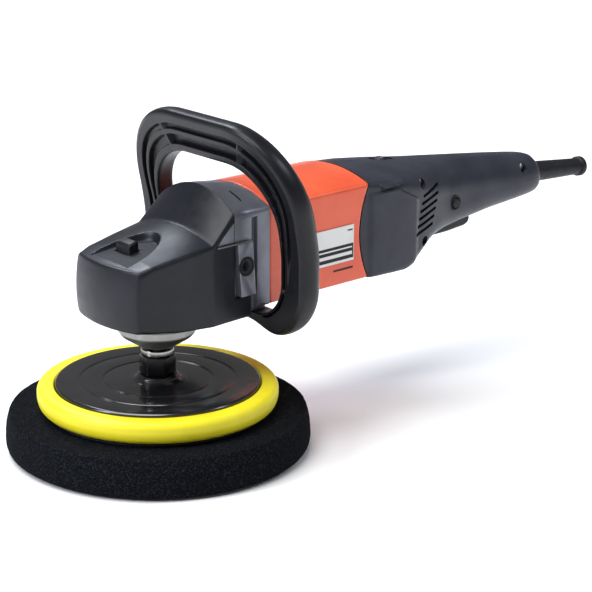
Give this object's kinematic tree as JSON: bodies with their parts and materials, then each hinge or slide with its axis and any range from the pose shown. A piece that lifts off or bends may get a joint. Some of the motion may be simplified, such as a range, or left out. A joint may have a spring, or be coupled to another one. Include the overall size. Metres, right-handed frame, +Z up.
{
  "type": "rotary polisher",
  "caption": "Handheld rotary polisher with a foam pad on a backing plate, bevel-gear head, loop handle, motor housing, and rear grip with trigger, lock-on button and speed dial.",
  "frame": {"origin": "centre of the foam pad's working face", "axes": "+Z up along the spindle away from the work, +X along the motor towards the rear handle, +Y to the right of the tool seen from behind"},
  "size_m": [0.5247, 0.205, 0.2205],
  "materials": {
    "pad_foam": "matte open-cell foam",
    "hook_fabric": "matte hook-and-loop fabric",
    "rim_yellow": "satin yellow moulded edge",
    "disc_black": "gloss black moulded disc",
    "nut_black": "gloss black hexagon",
    "spindle_steel": "bright turned steel",
    "gear_steel": "ground gear steel",
    "bearing_steel": "polished bearing steel",
    "screw_steel": "zinc-plated screws",
    "spring_steel": "drawn spring wire",
    "laminations": "stacked electrical steel",
    "copper": "varnished copper windings",
    "brass": "brass brush boxes",
    "carbon": "matte carbon",
    "fan_plastic": "moulded grey plastic",
    "inner_plastic": "moulded black plastic",
    "cast_silver": "bright cast aluminium",
    "cast_grey": "dark grey coated casting",
    "head_plastic": "satin near-black plastic",
    "handle_plastic": "satin black plastic",
    "button_black": "satin black buttons",
    "housing_orange": "satin orange-red plastic",
    "plate_white": null,
    "guard_rubber": "matte black rubber",
    "loop_plastic": "satin black plastic"
  },
  "bodies": {
    "housing": {"spindle_bearing_lower": "bearing_steel", "spindle_bearing_upper": "bearing_steel", "armature_bearing_front": "bearing_steel", "armature_bearing_rear": "bearing_steel", "stator": "laminations", "field_coil_upper": "copper", "field_coil_lower": "copper", "air_baffle": "inner_plastic", "bearing_bracket": "inner_plastic", "carbon_brush_left": "carbon", "carbon_brush_right": "carbon", "brush_holder_left": "brass", "brush_holder_right": "brass", "bearing_box": "cast_silver", "box_screw_1": "screw_steel", "box_screw_2": "screw_steel", "box_screw_3": "screw_steel", "box_screw_4": "screw_steel", "gear_housing": "cast_grey", "head_cover": "head_plastic", "lock_spring": "spring_steel", "motor_housing": "housing_orange", "housing_screw_1": "screw_steel", "housing_screw_2": "screw_steel", "housing_screw_3": "screw_steel", "housing_screw_4": "screw_steel", "rating_plate": "plate_white", "rear_handle_left": "handle_plastic", "rear_handle_right": "handle_plastic", "handle_screw_1": "screw_steel", "handle_screw_2": "screw_steel", "handle_screw_3": "screw_steel", "trigger_spring": "spring_steel", "switch_body": "inner_plastic", "speed_module": "inner_plastic", "cord_guard": "guard_rubber", "cord_clamp": "guard_rubber", "loop_handle": "loop_plastic", "loop_bolt_1": "screw_steel", "loop_bolt_2": "screw_steel"},
    "spindle": {"spindle": "spindle_steel", "crown_gear": "gear_steel", "hub_nut": "nut_black", "backing_disc": "disc_black", "backing_rim": "rim_yellow", "hook_disc": "hook_fabric", "foam_pad": "pad_foam"},
    "armature": {"armature_shaft": "spindle_steel", "armature_core": "laminations", "armature_winding_front": "copper", "armature_winding_rear": "copper", "commutator": "copper", "cooling_fan": "fan_plastic", "bevel_pinion": "gear_steel", "pinion_nut": "spindle_steel"},
    "spindle_lock": {"spindle_lock_button": "button_black", "spindle_lock_pin": "spindle_steel"},
    "trigger": {"trigger": "button_black"},
    "lock_on_button": {"lock_on_button": "button_black"},
    "speed_dial": {"speed_dial": "button_black"}
  },
  "joints": [
    {"name": "spindle_spin", "type": "hinge", "parent": "housing", "child": "spindle", "pos_m": [0, 0, 0], "axis": [0, 0, 1], "continuous": true},
    {"name": "armature_spin", "type": "hinge", "parent": "housing", "child": "armature", "pos_m": [0, 0, 0.125], "axis": [1, 0, 0], "continuous": true},
    {"name": "spindle_lock_press", "type": "slide", "parent": "housing", "child": "spindle_lock", "axis": [0, 0, -1], "range_m": [0, 0.0035], "stiffness_N_per_m": 900, "springref_m": -0.002, "deforming": ["lock_spring"]},
    {"name": "trigger_pull", "type": "hinge", "parent": "housing", "child": "trigger", "pos_m": [0.24, 0, 0.112], "axis": [0, -1, 0], "range_deg": [0, 6], "stiffness_Nm_per_rad": 2, "springref_deg": -2.86, "deforming": ["trigger_spring"]},
    {"name": "lock_on_press", "type": "slide", "parent": "housing", "child": "lock_on_button", "axis": [0, 1, 0], "range_m": [0, 0.0025], "stiffness_N_per_m": 600, "springref_m": -0.002},
    {"name": "speed_dial_turn", "type": "hinge", "parent": "housing", "child": "speed_dial", "pos_m": [0.204, 0, 0.156], "axis": [0, 1, 0], "range_deg": [0, 270]}
  ],
  "couplings": [
    {"joint": "armature_spin", "follows": "spindle_spin", "ratio": 4}
  ]
}
